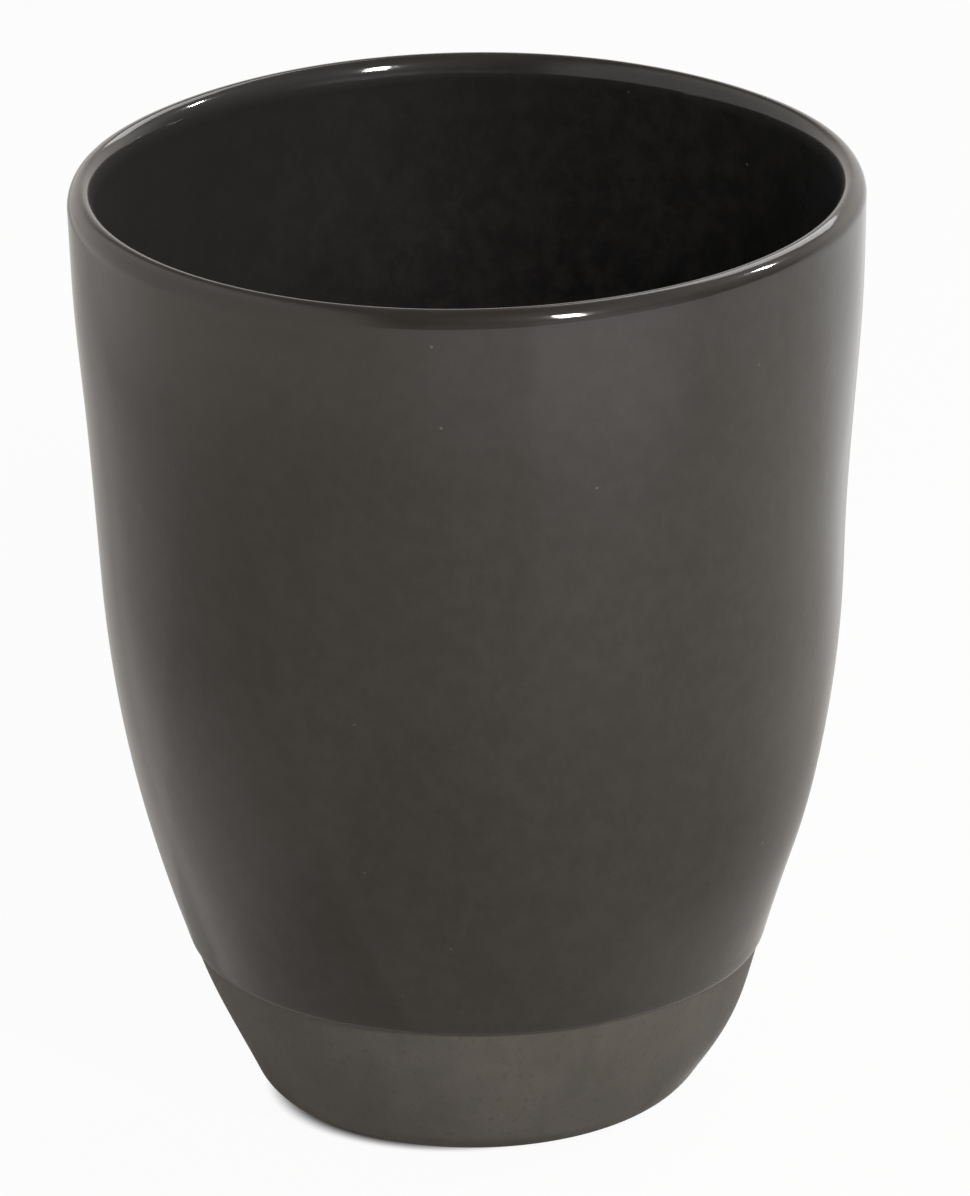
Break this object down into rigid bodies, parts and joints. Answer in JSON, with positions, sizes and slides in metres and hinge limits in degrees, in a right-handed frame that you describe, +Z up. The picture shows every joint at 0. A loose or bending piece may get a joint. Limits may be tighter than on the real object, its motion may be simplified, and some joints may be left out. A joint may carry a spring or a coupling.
{
  "type": "handleless mug",
  "caption": "Handleless stoneware mug with a straight upper wall, a rounded lip, a tapering belly, glossy dark glaze inside and out, and a bare matt foot band.",
  "frame": {"origin": "centre of the foot ring, on the surface that the mug stands on", "axes": "+Z up along the axis that the mug is turned on, out of its mouth; the picture looks along +Y, with +X to the right"},
  "size_m": [0.082, 0.082, 0.1],
  "materials": {
    "bare_clay": "matt unglazed dark stoneware",
    "outer_glaze": "glossy black-brown glaze",
    "liner_glaze": "glossy black-brown glaze"
  },
  "bodies": {
    "root": {"clay_body": "bare_clay", "outer_glaze": "outer_glaze", "liner_glaze": "liner_glaze"}
  },
  "joints": []
}
